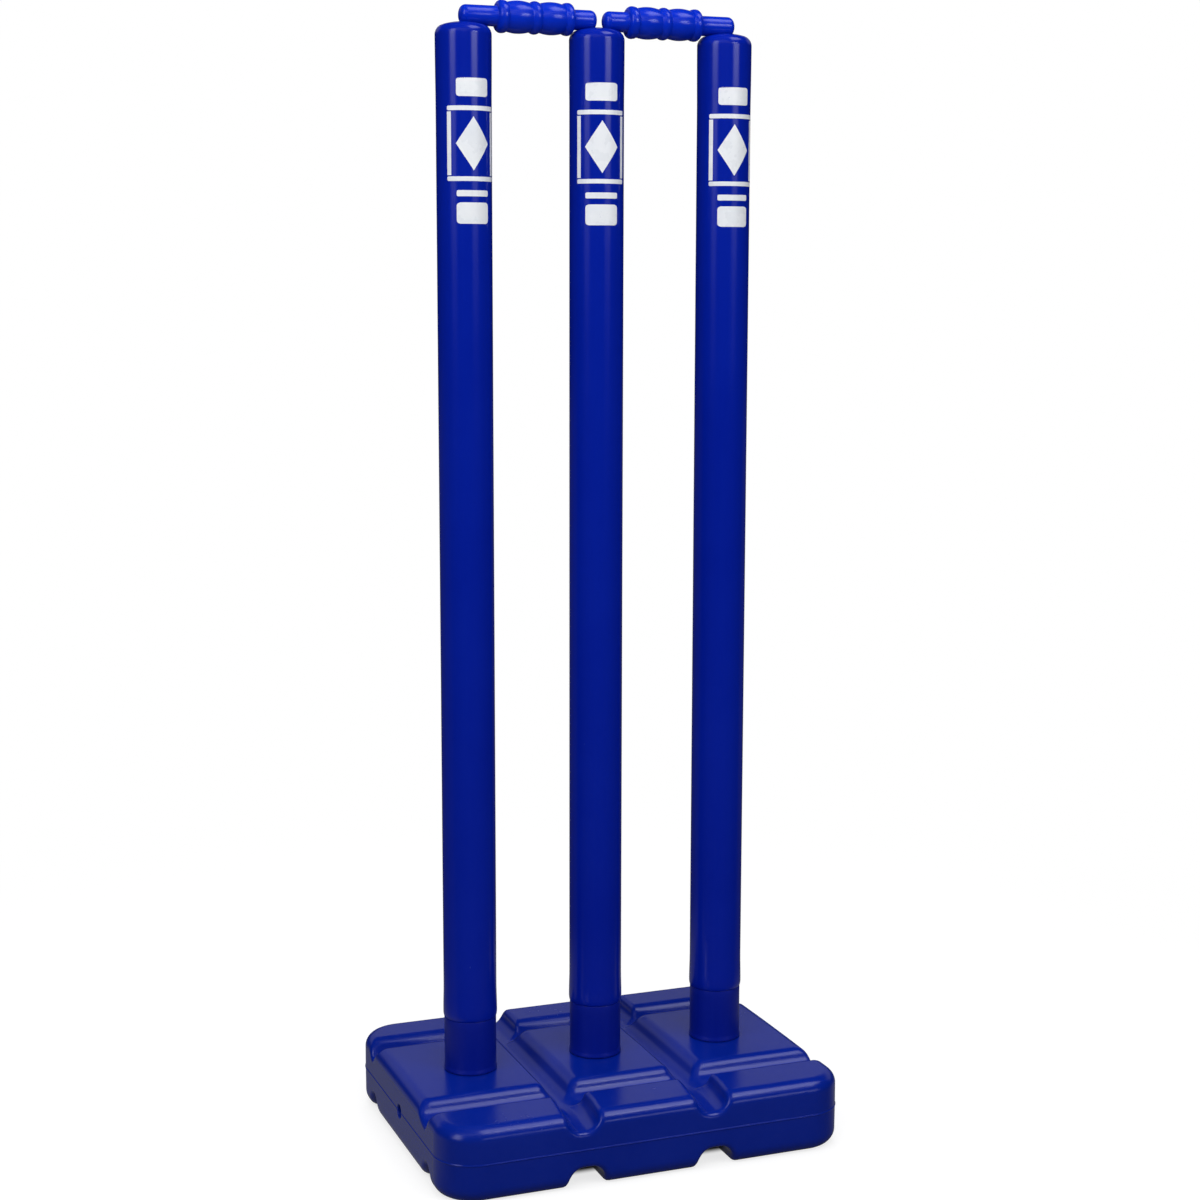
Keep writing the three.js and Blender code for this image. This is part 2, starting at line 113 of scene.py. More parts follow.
# Materials
class Nodes:
    """The node tree of a material or a world, with short calls for the nodes that are used here."""

    def __init__(self, block, output, place):
        block.use_nodes = True
        self.block = block
        self.tree = block.node_tree
        self.tree.nodes.clear()
        self.output = self.tree.nodes.new(output)
        self.place = self.tree.nodes.new("ShaderNodeTexCoord").outputs[place]

    def node(self, kind, **values):
        made = self.tree.nodes.new(kind)
        for key, value in values.items():
            setattr(made, key, value)
        return made

    def link(self, out, into):
        self.tree.links.new(out, into)

    def feed(self, socket, value):
        """Links a node's output to a socket, or sets a plain value on it."""
        if isinstance(value, bpy.types.NodeSocket):
            self.link(value, socket)
        else:
            socket.default_value = value

    def stretch(self, scale):
        made = self.node("ShaderNodeMapping")
        self.link(self.place, made.inputs["Vector"])
        made.inputs["Scale"].default_value = scale
        return made.outputs["Vector"]

    def noise(self, scale, detail=2.0, rough=0.5, vector=None):
        made = self.node("ShaderNodeTexNoise")
        self.link(vector or self.place, made.inputs["Vector"])
        made.inputs["Scale"].default_value = scale
        made.inputs["Detail"].default_value = detail
        made.inputs["Roughness"].default_value = rough
        return made.outputs["Fac"]

    def cells(self, vector):
        """The distance to the nearest of the points strewn over a space, one to a unit cube."""
        made = self.node("ShaderNodeTexVoronoi")
        self.link(vector, made.inputs["Vector"])
        made.inputs["Scale"].default_value = 1.0
        return made.outputs["Distance"]

    def remap(self, value, low, high, to_low, to_high, smooth=False):
        """A value between low and high carried over to another range, and held at its ends."""
        made = self.node("ShaderNodeMapRange", interpolation_type="SMOOTHSTEP" if smooth else "LINEAR")
        self.link(value, made.inputs["Value"])
        ends = {"From Min": low, "From Max": high, "To Min": to_low, "To Max": to_high}
        for key, number in ends.items():
            made.inputs[key].default_value = number
        return made.outputs["Result"]

    def spread(self, noise, low, high):
        """The middle of a noise's range, 0.3 to 0.7, carried over to another range."""
        return self.remap(noise, 0.3, 0.7, low, high)

    def math(self, kind, a, b=0.0):
        made = self.node("ShaderNodeMath", operation=kind)
        self.feed(made.inputs[0], a)
        self.feed(made.inputs[1], b)
        return made.outputs[0]

    def split(self):
        made = self.node("ShaderNodeSeparateXYZ")
        self.link(self.place, made.inputs[0])
        return made.outputs

    def glow(self, kind, strength):
        made = self.node(kind)
        made.inputs["Color"].default_value = (1.0, 1.0, 1.0, 1.0)
        self.feed(made.inputs["Strength"], strength)
        return made.outputs[0]

    def mix(self, share, a, b):
        made = self.node("ShaderNodeMix", data_type="RGBA")
        self.feed(made.inputs[0], share)
        self.feed(made.inputs[6], a)
        self.feed(made.inputs[7], b)
        return made.outputs[2]

    def mottle(self, noise, dark, light):
        return self.mix(self.spread(noise, 0.0, 1.0), dark, light)

    def bump(self, height, strength, distance, before=None):
        """A bump of a height in metres, on top of the one before it."""
        made = self.node("ShaderNodeBump")
        self.link(height, made.inputs["Height"])
        made.inputs["Strength"].default_value = strength
        made.inputs["Distance"].default_value = distance
        if before is not None:
            self.link(before, made.inputs["Normal"])
        return made.outputs["Normal"]

    def plastic(self, tone, roughness, normal, specular=0.5):
        made = self.node("ShaderNodeBsdfPrincipled")
        self.feed(made.inputs["Base Color"], tone)
        self.feed(made.inputs["Roughness"], roughness)
        self.link(normal, made.inputs["Normal"])
        made.inputs["IOR"].default_value = 1.5
        made.inputs["Specular IOR Level"].default_value = specular
        self.link(made.outputs[0], self.output.inputs["Surface"])
        return self.block


def material_nodes(name):
    return Nodes(bpy.data.materials.new(name), "ShaderNodeOutputMaterial", "Object")


def rgb(red, green, blue):
    return (red, green, blue, 1.0)


def grey(level):
    return rgb(level, level, level)


def stand_plastic():
    """Cloudy plastic with a little dust in it, a few faint scuffs along the stand and a fine pebble."""
    n = material_nodes("stand_plastic")
    cloud = n.noise(14.0, detail=3.0, rough=0.55)
    tone = n.mottle(cloud, rgb(0.0003, 0.0130, 0.242), rgb(0.0010, 0.0158, 0.272))
    dust = n.remap(n.noise(75.0, detail=4.0, rough=0.7), 0.6, 0.82, 0.0, 0.05)
    tone = n.mix(dust, tone, rgb(0.03, 0.05, 0.30))
    streak = n.remap(n.cells(n.stretch((60.0, 320.0, 320.0))), 0.0, 0.05, 1.0, 0.0)
    scuffed = n.remap(n.noise(31.0), 0.58, 0.7, 0.0, 0.05)
    tone = n.mix(n.math("MULTIPLY", streak, scuffed), tone, rgb(0.02, 0.05, 0.34))
    pebble = n.noise(330.0)
    rough = n.math("ADD", n.spread(cloud, 0.20, 0.25), n.spread(pebble, -0.02, 0.03))
    normal = n.bump(n.noise(26.0, detail=1.0, rough=0.4), 0.10, 0.0012)
    normal = n.bump(pebble, 0.10, 0.0003, normal)
    normal = n.bump(n.noise(1100.0, rough=0.6), 0.10, 0.0001, normal)
    return n.plastic(tone, rough, normal)


def stump_plastic(name, dark, light, roughness, specular):
    """The stumps' plastic between two tones, with fine streaks along the stump and a few nicks."""
    n = material_nodes(name)
    cloud = n.noise(9.0, detail=3.0, rough=0.55)
    streaks = n.noise(1.0, detail=3.0, rough=0.6, vector=n.stretch((420.0, 420.0, 7.0)))
    tone = n.mottle(cloud, dark, light)
    tone = n.mix(n.remap(streaks, 0.45, 0.8, 0.0, 0.12), tone, rgb(0.002, 0.020, 0.34))
    nick = n.remap(n.cells(n.stretch((75.0, 75.0, 32.0))), 0.0, 0.035, 1.0, 0.0)
    nick = n.math("MULTIPLY", nick, n.remap(n.noise(17.0, detail=1.0), 0.56, 0.6, 0.0, 0.35))
    tone = n.mix(nick, tone, rgb(0.08, 0.13, 0.42))
    rough = n.spread(cloud, roughness, roughness + 0.04)
    rough = n.math("ADD", rough, n.remap(streaks, 0.3, 0.75, 0.0, 0.02))
    rough = n.math("ADD", rough, n.math("MULTIPLY", nick, 0.25))
    normal = n.bump(streaks, 0.03, 0.0002)
    normal = n.bump(n.noise(1400.0, rough=0.55), 0.04, 0.0001, normal)
    return n.plastic(tone, rough, normal, specular)


def bail_plastic():
    """The bails' plastic, with fine rings round the bail."""
    n = material_nodes("bail_plastic")
    cloud = n.noise(40.0, detail=3.0, rough=0.55)
    rings = n.noise(1.0, rough=0.6, vector=n.stretch((900.0, 30.0, 30.0)))
    tone = n.mottle(cloud, rgb(0.0005, 0.0195, 0.45), rgb(0.0010, 0.0240, 0.50))
    tone = n.mix(n.remap(rings, 0.5, 0.75, 0.0, 0.2), tone, rgb(0.002, 0.028, 0.54))
    rough = n.math("ADD", n.spread(cloud, 0.17, 0.21), n.spread(rings, -0.01, 0.02))
    normal = n.bump(rings, 0.02, 0.0002)
    normal = n.bump(n.noise(1500.0, rough=0.55), 0.04, 0.0001, normal)
    return n.plastic(tone, rough, normal)


def print_film():
    """White print with specks of the blue below."""
    n = material_nodes("print_film")
    cloud = n.noise(60.0, detail=3.0, rough=0.6)
    tone = n.mottle(cloud, rgb(0.74, 0.77, 0.82), rgb(0.82, 0.84, 0.87))
    specks = n.remap(n.noise(900.0, detail=1.0), 0.74, 0.80, 0.0, 0.35)
    tone = n.mix(specks, tone, rgb(0.08, 0.12, 0.40))
    return n.plastic(tone, n.spread(cloud, 0.24, 0.32), n.bump(n.noise(2200.0), 0.05, 0.0001))


TUBE_TONES = rgb(0.0006, 0.0108, 0.295), rgb(0.0011, 0.0134, 0.325)
FOOT_TONES = rgb(0.0006, 0.0084, 0.235), rgb(0.0010, 0.0102, 0.262)
FINISHES = {
    "stand_plastic": stand_plastic(),
    "stump_plastic": stump_plastic("stump_plastic", *TUBE_TONES, roughness=0.13, specular=0.5),
    "bail_plastic": bail_plastic(),
    "print": print_film(),
}
FOOT_FINISH = stump_plastic("foot_plastic", *FOOT_TONES, roughness=0.38, specular=0.3)


# Meshes
def make_object(name, points, faces, slot, sharp, finish=None):
    """A mesh from points in millimetres, smooth but for edges of sharp degrees or more."""
    mesh = bpy.data.meshes.new(name)
    mesh.from_pydata([tuple(p) for p in np.asarray(points, float) * MM], [], [tuple(f) for f in faces])
    mesh.validate()
    work = bmesh.new()
    work.from_mesh(mesh)
    bmesh.ops.recalc_face_normals(work, faces=work.faces[:])
    limit = math.radians(sharp)
    for face in work.faces:
        face.smooth = True
    for edge in work.edges:
        edge.smooth = len(edge.link_faces) == 2 and edge.calc_face_angle(0.0) < limit
    work.to_mesh(mesh)
    work.free()
    mesh.materials.append(finish or FINISHES[slot])
    made = bpy.data.objects.new(name, mesh)
    scene.collection.objects.link(made)
    return made


def revolve(profile, sides, closed):
    """Points and faces of a profile of (radius, height) turned about Z. A closed profile meets itself,
    and an open one starts and ends on the axis."""
    points = []
    rings = []
    for radius, height in profile:
        if radius < 1e-6:
            rings.append([len(points)])
            points.append((0.0, 0.0, height))
            continue
        rings.append(list(range(len(points), len(points) + sides)))
        for side in range(sides):
            turn = 2 * math.pi * side / sides
            points.append((radius * math.cos(turn), radius * math.sin(turn), height))
    faces = []
    pairs = list(zip(rings, rings[1:] + rings[:1])) if closed else list(zip(rings, rings[1:]))
    for low, high in pairs:
        for side in range(sides):
            after = (side + 1) % sides
            if len(low) == 1:
                faces.append((low[0], high[after], high[side]))
            elif len(high) == 1:
                faces.append((low[side], low[after], high[0]))
            else:
                faces.append((low[side], low[after], high[after], high[side]))
    return np.array(points), faces


def steps(count, first=0):
    return [index / count for index in range(first, count + 1)]


def quarter(count, first=0):
    """The angles of a quarter turn in even steps."""
    return [math.pi / 2 * share for share in steps(count, first)]


def arc(centre_radius, centre_height, radius, start, end, count):
    """Points of an arc in a profile. Angles in degrees, 0 outwards and 90 up."""
    found = []
    for share in steps(count):
        turn = math.radians(start + (end - start) * share)
        found.append((centre_radius + radius * math.cos(turn), centre_height + radius * math.sin(turn)))
    return found


def swell(high, low, base, height, count):
    """Points that ease from a larger radius to a smaller one over a height."""
    found = []
    for share in steps(count, 1):
        fade = (high - low) / 2 * (1 + math.cos(math.pi * share))
        found.append((low + fade, base + height * share))
    return found


# Fields: below 0 inside a solid, in millimetres
def join_over(a, b, r):
    """The larger of two fields, with their edge rounded."""
    corner = -r + np.sqrt(np.maximum(a + r, 0.0) ** 2 + np.maximum(b + r, 0.0) ** 2)
    return np.where((a > -r) & (b > -r), corner, np.maximum(a, b))


def join_under(a, b, r):
    return -join_over(-a, -b, r)


def ease(value, low, high):
    """A smooth step from 0 at low to 1 at high."""
    share = np.clip((value - low) / (high - low), 0.0, 1.0)
    return share * share * (3 - 2 * share)


def blend(a, b, share):
    return a * (1 - share) + b * share


def reach(radius, slope):
    """The rounding that gives an arc's length of edge between a flat face and a flank at a slope."""
    turn = np.radians(slope)
    return radius * np.tan(turn / 2) * np.sin(turn)


def flank(distance, depth, slope):
    turn = np.radians(slope)
    return distance * np.sin(turn) + depth * np.cos(turn)


# The stand's troughs, in millimetres and degrees. Grooves run along X. The inner flank of one turns
# gentler at a depth, or nowhere if that lies below its floor. Channels run along Y across them and
# leave through notches in the walls. A channel has shoulders and floor corners for its left and right
Groove = namedtuple("Groove", (
    "inner", "outer", "inner_slope", "outer_slope", "inner_shoulder", "outer_shoulder",
    "inner_floor", "outer_floor", "gentle_depth",
))
Channel = namedtuple("Channel", "half slope shoulders floors")
Notch = namedtuple("Notch", "back_half front_half slope shoulder floor front_slant")
Troughs = namedtuple("Troughs", "back front channel notch depth")
TOP = Troughs(
    back=Groove(59.5, 78.0, 50.0, 60.0, 5.0, 9.0, 2.5, 5.0, 20.0),
    front=Groove(49.0, 73.0, 60.0, 60.0, 7.5, 5.0, 5.0, 2.5, 7.5),
    channel=Channel(11.5, 60.0, (4.0, 9.0), (4.0, 9.0)),
    notch=Notch(13.5, 12.0, 80.0, 4.0, 9.5, -3.0),
    depth=12.5,
)
FOOT = Troughs(
    back=Groove(54.0, 80.0, 55.0, 60.0, 5.0, 5.0, 5.0, 5.0, 20.0),
    front=Groove(54.0, 80.0, 55.0, 60.0, 5.0, 5.0, 5.0, 5.0, 20.0),
    channel=Channel(12.5, 65.0, (6.0, 6.0), (5.0, 5.0)),
    notch=Notch(14.0, 14.0, 80.0, 3.0, 10.0, 0.0),
    depth=14.5,
)
GENTLE_SLOPE = 28.0
GENTLE_BEND = 1.2

# Where one shape of trough gives way to another: measured from a groove's outer place, from the
# stand's middle line, from where the fields of groove and channel are equal, and from the wall
OUTER_SIDE = (-10.0, -6.0)
CHANNEL_TO_NOTCH = (64.0, 71.0)
NOTCH_SLANTS = (76.0, 112.0)
GROOVE_TO_CHANNEL = (-5.0, 5.0)
NEAR_WALL = (-9.0, -2.0)
CROSSING_ROUND = 4.5
CROSSING_ROUND_LOSS = 2.5
WALL_SHOULDER = 3.5


def troughs(x, y, depth, side, sizes):
    """The field of one face's troughs, and the rounding of their shoulders."""
    front = y < 0
    along = np.abs(y)
    rightward = (np.abs(x) - SPACING / 2) * np.where(x < 0, -1.0, 1.0)

    own = Groove(*[np.where(front, *pair) for pair in zip(sizes.front, sizes.back)])
    gentle = own.inner + own.gentle_depth / np.tan(np.radians(own.inner_slope))
    gentle = gentle - own.gentle_depth / np.tan(np.radians(GENTLE_SLOPE))
    steep_flank = flank(own.inner - along, depth, own.inner_slope)
    gentle_flank = flank(gentle - along, depth, GENTLE_SLOPE)
    inner_flank = join_over(steep_flank, gentle_flank, GENTLE_BEND)
    groove = np.maximum(inner_flank, flank(along - own.outer, depth, own.outer_slope))
    outer_side = ease(along - own.outer, *OUTER_SIDE)
    inner_shoulder = reach(own.inner_shoulder, own.inner_slope)
    shoulder = blend(inner_shoulder, reach(own.outer_shoulder, own.outer_slope), outer_side)
    inner_floor = reach(own.inner_floor, own.inner_slope)
    floor = blend(inner_floor, reach(own.outer_floor, own.outer_slope), outer_side)

    lane = sizes.channel
    channel = flank(np.abs(rightward) - lane.half, depth, lane.slope)
    channel_shoulder = reach(np.where(rightward < 0, *lane.shoulders), lane.slope)
    channel_floor = reach(np.where(rightward < 0, *lane.floors), lane.slope)

    mouth = sizes.notch
    slant = mouth.front_slant * ease(along, *NOTCH_SLANTS) * front
    notch_half = np.where(front, mouth.front_half, mouth.back_half)
    notch = flank(np.abs(rightward - slant) - notch_half, depth, mouth.slope)

    outward = ease(along, *CHANNEL_TO_NOTCH)
    cross = blend(channel, notch, outward)
    cross_shoulder = blend(channel_shoulder, reach(mouth.shoulder, mouth.slope), outward)
    cross_floor = blend(channel_floor, reach(mouth.floor, mouth.slope), outward)
    opening = join_under(groove, cross, CROSSING_ROUND - CROSSING_ROUND_LOSS * outward)
    crossing = ease(groove - cross, *GROOVE_TO_CHANNEL)
    cut = join_over(opening, depth - sizes.depth, blend(floor, cross_floor, crossing))
    rounding = blend(shoulder, cross_shoulder, crossing)
    return cut, blend(rounding, WALL_SHOULDER, ease(side, *NEAR_WALL))


# The walls lean out towards the seam, which stands out as a bead. The platforms between the grooves
# fall away a little from their middles. Behind the blow hole is a round pocket, and both places are
# distances to the left of the stand's middle
WALL_INSET = 0.5
WALL_LEAN = 0.1
WALL_LEAN_HEIGHT = 15.0
BEAD = 0.4
BEAD_HALF_WIDTH = 0.75
PLATFORM_FALL = 0.4
PLATFORM_HALF_DEPTH = 55.0
PLATFORM_HALF_WIDTH = 35.0
PLATFORM_SIDE_SHARE = 0.3
PLATFORM_END = 66.0
SOCKET_EDGE = 0.7
BLOW_HOLE_EDGE = 0.6
BLOW_HOLE_END = 138.0
POCKET_PLACE = 135.0
POCKET = 11.0


def stand_field(p):
    """Below 0 inside the stand. p is an array of points in millimetres."""
    x, y, z = p[..., 0], p[..., 1], p[..., 2]
    qx = np.abs(x) - (HALF_LENGTH - CORNER)
    qy = np.abs(y) - (HALF_DEPTH - CORNER)
    outline = np.hypot(np.maximum(qx, 0), np.maximum(qy, 0)) + np.minimum(np.maximum(qx, qy), 0) - CORNER
    from_seam = np.abs(z - SEAM_HEIGHT)
    bead = np.maximum(1 - (from_seam / BEAD_HALF_WIDTH) ** 2, 0) ** 2
    side = outline + WALL_INSET - WALL_LEAN * np.clip(1 - from_seam / WALL_LEAN_HEIGHT, 0, 1) - BEAD * bead
    from_stump = np.abs(np.abs(x) - SPACING)
    fall = np.clip(np.abs(y) / PLATFORM_HALF_DEPTH, 0, 1) ** 2
    fall = fall + PLATFORM_SIDE_SHARE * np.clip(from_stump / PLATFORM_HALF_WIDTH, 0, 1) ** 2
    fall = np.where(np.abs(y) < PLATFORM_END, PLATFORM_FALL * fall, 0.0)
    body = join_over(side, z - STAND_HEIGHT + fall, TOP_EDGE)
    body = join_over(body, -z, FOOT_EDGE)
    for depth, sizes in ((STAND_HEIGHT - z, TOP), (z, FOOT)):
        cut, rounding = troughs(x, y, depth, side, sizes)
        body = join_over(body, -cut, rounding)
    socket_x = np.minimum(np.abs(x), from_stump)
    socket_floor = STAND_HEIGHT - PEG_LENGTH - FIT_GAP
    socket = np.maximum(np.hypot(socket_x, y) - PEG - FIT_GAP, socket_floor - z)
    body = join_over(body, -socket, SOCKET_EDGE)
    hole_y = y - BLOW_HOLE_PLACE
    hole = np.hypot(hole_y, z - SEAM_HEIGHT) - BLOW_HOLE
    hole = np.maximum(hole, x + BLOW_HOLE_END)
    pocket = np.sqrt((x + POCKET_PLACE) ** 2 + hole_y ** 2 + (z - SEAM_HEIGHT) ** 2) - POCKET
    return join_over(body, -np.minimum(hole, pocket), BLOW_HOLE_EDGE)


def grid_lines(low, high, pitch, fine_span):
    """Places of a grid's planes, closer together over the span (start, end, pitch)."""
    start, end, fine = fine_span
    lines = np.arange(low, high + pitch, pitch)
    lines = [v for v in lines if v < start - 0.4 * pitch or v > end + 0.4 * pitch]
    lines.extend(np.arange(start, end + fine * 0.5, fine))
    return np.array(sorted(lines))


def skin_of(field, xs, ys, zs):
    """The surface where a field is 0, as points on it and four-sided faces, one point to a cell."""
    grid = np.stack(np.meshgrid(xs, ys, zs, indexing="ij"), -1)
    values = field(grid)
    inside = values < 0
    count = np.zeros([n - 1 for n in values.shape], int)
    corners = [(i, j, k) for i in (0, 1) for j in (0, 1) for k in (0, 1)]
    shape = count.shape
    for i, j, k in corners:
        count += inside[i:i + shape[0], j:j + shape[1], k:k + shape[2]]
    active = (count > 0) & (count < 8)
    cells = np.argwhere(active)
    index = np.full(shape, -1)
    index[active] = np.arange(len(cells))
    total = np.zeros((len(cells), 3))
    hits = np.zeros(len(cells))
    for a in corners:
        for axis in range(3):
            if a[axis]:
                continue
            b = list(a)
            b[axis] = 1
            ca, cb = cells + np.array(a), cells + np.array(b)
            va, vb = values[tuple(ca.T)], values[tuple(cb.T)]
            crosses = (va < 0) != (vb < 0)
            share = np.where(crosses, va / np.where(crosses, va - vb, 1.0), 0.0)
            place = grid[tuple(ca.T)] + share[:, None] * (grid[tuple(cb.T)] - grid[tuple(ca.T)])
            total += place * crosses[:, None]
            hits += crosses
    points = total / hits[:, None]
    faces = []
    for axis in range(3):
        low = [slice(1, -1)] * 3
        low[axis] = slice(0, -1)
        high = list(low)
        high[axis] = slice(1, None)
        a, b = inside[tuple(low)], inside[tuple(high)]
        where = np.argwhere(a != b)
        going_out = a[tuple(where.T)]
        one, two = [k for k in range(3) if k != axis]
        offset = np.array([1, 1, 1])
        offset[axis] = 0
        base = where + offset
        quad = []
        for d_one, d_two in ((-1, -1), (0, -1), (0, 0), (-1, 0)):
            cell = base.copy()
            cell[:, one] += d_one
            cell[:, two] += d_two
            quad.append(index[tuple(cell.T)])
        quad = np.stack(quad, 1)
        flip = going_out if axis == 1 else ~going_out
        quad[flip] = quad[flip][:, ::-1]
        faces.append(quad)
    return points, np.concatenate(faces)


def slope_of(field, points, step=0.02):
    parts = []
    for axis in range(3):
        shift = np.zeros(3)
        shift[axis] = step
        parts.append((field(points + shift) - field(points - shift)) / (2 * step))
    return np.stack(parts, -1)


def settle(field, points, rounds, most=0.8):
    """Moves points onto the surface, by no more than a distance a round."""
    for _ in range(rounds):
        slope = slope_of(field, points)
        length = np.maximum((slope ** 2).sum(-1), 0.2)
        move = -(field(points) / length)[:, None] * slope
        size = np.linalg.norm(move, axis=1, keepdims=True)
        points = points + move * np.minimum(1.0, most / np.maximum(size, 1e-9))
    return points


def even_out(points, faces, field, rounds):
    """Spreads the points more evenly over the surface that they lie on."""
    edges = np.concatenate([faces[:, [0, 1]], faces[:, [1, 2]], faces[:, [2, 3]], faces[:, [3, 0]]])
    degree = np.bincount(edges.ravel(), minlength=len(points)).astype(float)
    for _ in range(rounds):
        total = np.zeros_like(points)
        for axis in range(3):
            total[:, axis] = np.bincount(edges[:, 0], points[edges[:, 1], axis], len(points))
            total[:, axis] += np.bincount(edges[:, 1], points[edges[:, 0], axis], len(points))
        slope = slope_of(field, points)
        slope /= np.maximum(np.linalg.norm(slope, axis=1, keepdims=True), 1e-6)
        move = total / degree[:, None] - points
        move -= (move * slope).sum(1, keepdims=True) * slope
        points = settle(field, points + 0.5 * move, 1)
    return points


def make_stand():
    """The stand's shell, on a grid that is finer at the left wall, the blow hole and the seam."""
    pitch = 1.5
    xs = grid_lines(-153.0, 153.0, pitch, (-150.5, -145.0, 0.5))
    ys = grid_lines(-117.0, 117.0, pitch, (-8.8, 4.2, 0.65))
    zs = grid_lines(-3.0, 56.0, pitch, (SEAM_HEIGHT - 1.5, SEAM_HEIGHT + 1.5, 0.25))
    points, faces = skin_of(stand_field, xs, ys, zs)
    points = settle(stand_field, points, 4)
    points = even_out(points, faces, stand_field, 2)
    points = settle(stand_field, points, 2)
    limit = np.array([HALF_LENGTH, HALF_DEPTH, STAND_HEIGHT])
    points = np.clip(points, [-HALF_LENGTH, -HALF_DEPTH, 0.0], limit)
    stand = make_object("stand_shell", points, faces.tolist(), "stand_plastic", 60.0)
    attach(stand, "stand")
    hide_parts("base")


make_stand()


# The stumps
def foot_profile():
    """A foot from the bottom of its bore out round the peg, up the collar and spigot and down the bore."""
    bore = PEG - FOOT_WALL
    spigot = TUBE_BORE - FIT_GAP
    low = STAND_HEIGHT - PEG_LENGTH
    top = COLLAR_TOP + TUBE_SPIGOT_LENGTH
    flare_ease = 0.4
    flare_height = 3.6
    rim = COLLAR_TOP + 0.12
    rim_ease = 0.35
    outline = [(bore, low + 1.0), (bore + 0.3, low + 0.3), (bore + 1.0, low)]
    outline += arc(PEG - PEG_EASE, low + PEG_EASE, PEG_EASE, -90, 0, 6)
    outline += [(PEG, low + 12.0), (PEG, low + 24.0), (PEG, COLLAR_FOOT - 0.2), (PEG + 0.2, COLLAR_FOOT)]
    outline += [(COLLAR - 0.3, COLLAR_FOOT)]
    outline += arc(COLLAR + COLLAR_FLARE - flare_ease, COLLAR_FOOT + flare_ease, flare_ease, -90, 0, 4)
    outline += swell(COLLAR + COLLAR_FLARE, COLLAR, COLLAR_FOOT + flare_ease, flare_height, 6)
    outline += [(COLLAR, z) for z in (62.0, 70.0, 78.0, 86.0)]
    outline += arc(COLLAR - rim_ease, rim - rim_ease, rim_ease, 0, 90, 4)
    outline += [(spigot + 0.2, rim), (spigot, rim + 0.2), (spigot, top - PEG_EASE)]
    outline += arc(spigot - PEG_EASE, top - PEG_EASE, PEG_EASE, 0, 90, 4)
    outline += [(bore + 0.5, top), (bore, top - 0.5), (bore, 60.0)]
    return outline


def tube_profile():
    """A tube from the axis under its closed head, down the bore, round the end and up to the crown."""
    end_ease = TUBE_FOOT + TUBE_END_EASE_HEIGHT
    centre = TUBE_TOP - HEAD_CROWN
    turn = math.asin((HEAD - HEAD_SHOULDER) / (HEAD_CROWN - HEAD_SHOULDER))
    shoulder = centre + (HEAD_CROWN - HEAD_SHOULDER) * math.cos(turn)
    outline = [(0.0, shoulder - 1.0), (TUBE_BORE - 4.0, shoulder - 1.5), (TUBE_BORE - 1.0, shoulder - 3.5)]
    outline += [(TUBE_BORE, shoulder - 6.0), (TUBE_BORE, 500.0), (TUBE_BORE, TUBE_FOOT + 0.4)]
    outline += [(TUBE_BORE + 0.15, TUBE_FOOT + 0.1), (TUBE_BORE + 0.5, TUBE_FOOT)]
    for t in quarter(8):
        radius = TUBE + TUBE_END_FLARE - TUBE_END_EASE * (1 - math.sin(t))
        outline.append((radius, end_ease - TUBE_END_EASE_HEIGHT * math.cos(t)))
    outline += swell(TUBE + TUBE_END_FLARE, TUBE, end_ease, TUBE_END_FLARE_HEIGHT, 8)
    outline += [(TUBE, z) for z in np.linspace(140.0, 700.0, 15)]
    for share in steps(10):
        radius = TUBE + HEAD_FLARE * math.sin(math.pi / 2 * share)
        outline.append((radius, shoulder - HEAD_FLARE_HEIGHT * (1 - share)))
    for share in steps(20, 1):
        t = (math.pi / 2 - turn) * share
        outline.append((HEAD - HEAD_SHOULDER * (1 - math.cos(t)), shoulder + HEAD_SHOULDER * math.sin(t)))
    for share in steps(36, 1):
        t = turn * (1 - share)
        outline.append((HEAD_CROWN * math.sin(t), centre + HEAD_CROWN * math.cos(t)))
    return outline


def head_top(height, across):
    """Cuts the bail groove into a height near the crown, with a rounded edge."""
    groove_radius = BAIL_SPIGOT + FIT_GAP
    no_groove = 1000.0
    edge_width = 0.5
    edge_drop = 0.12
    inside = np.sqrt(np.maximum(groove_radius ** 2 - across ** 2, 0.0))
    groove = np.where(np.abs(across) < groove_radius, BAIL_AXIS - inside, no_groove)
    gap = np.clip(np.abs(height - groove) / edge_width, 0, 1)
    return np.minimum(height, groove) - edge_drop * (1 - gap) ** 2


FOOT_SIDES = 96
TUBE_SIDES = 144
HEAD_HEIGHT = 8.0


def make_stump(side, x):
    points, faces = revolve(foot_profile(), FOOT_SIDES, True)
    points[:, 0] += x
    foot = make_object(f"foot_shell_{side}", points, faces, "stump_plastic", 35.0, FOOT_FINISH)
    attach(foot, f"stump_{side}")
    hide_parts(f"stump_foot_{side}")
    points, faces = revolve(tube_profile(), TUBE_SIDES, False)
    near_top = points[:, 2] > TUBE_TOP - HEAD_HEIGHT
    points[near_top, 2] = head_top(points[near_top, 2], points[near_top, 1])
    points[:, 0] += x
    tube = make_object(f"tube_shell_{side}", points, faces, "stump_plastic", 50.0)
    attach(tube, f"stump_{side}")
    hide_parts(f"stump_tube_{side}")


for side, x in STUMPS.items():
    make_stump(side, x)

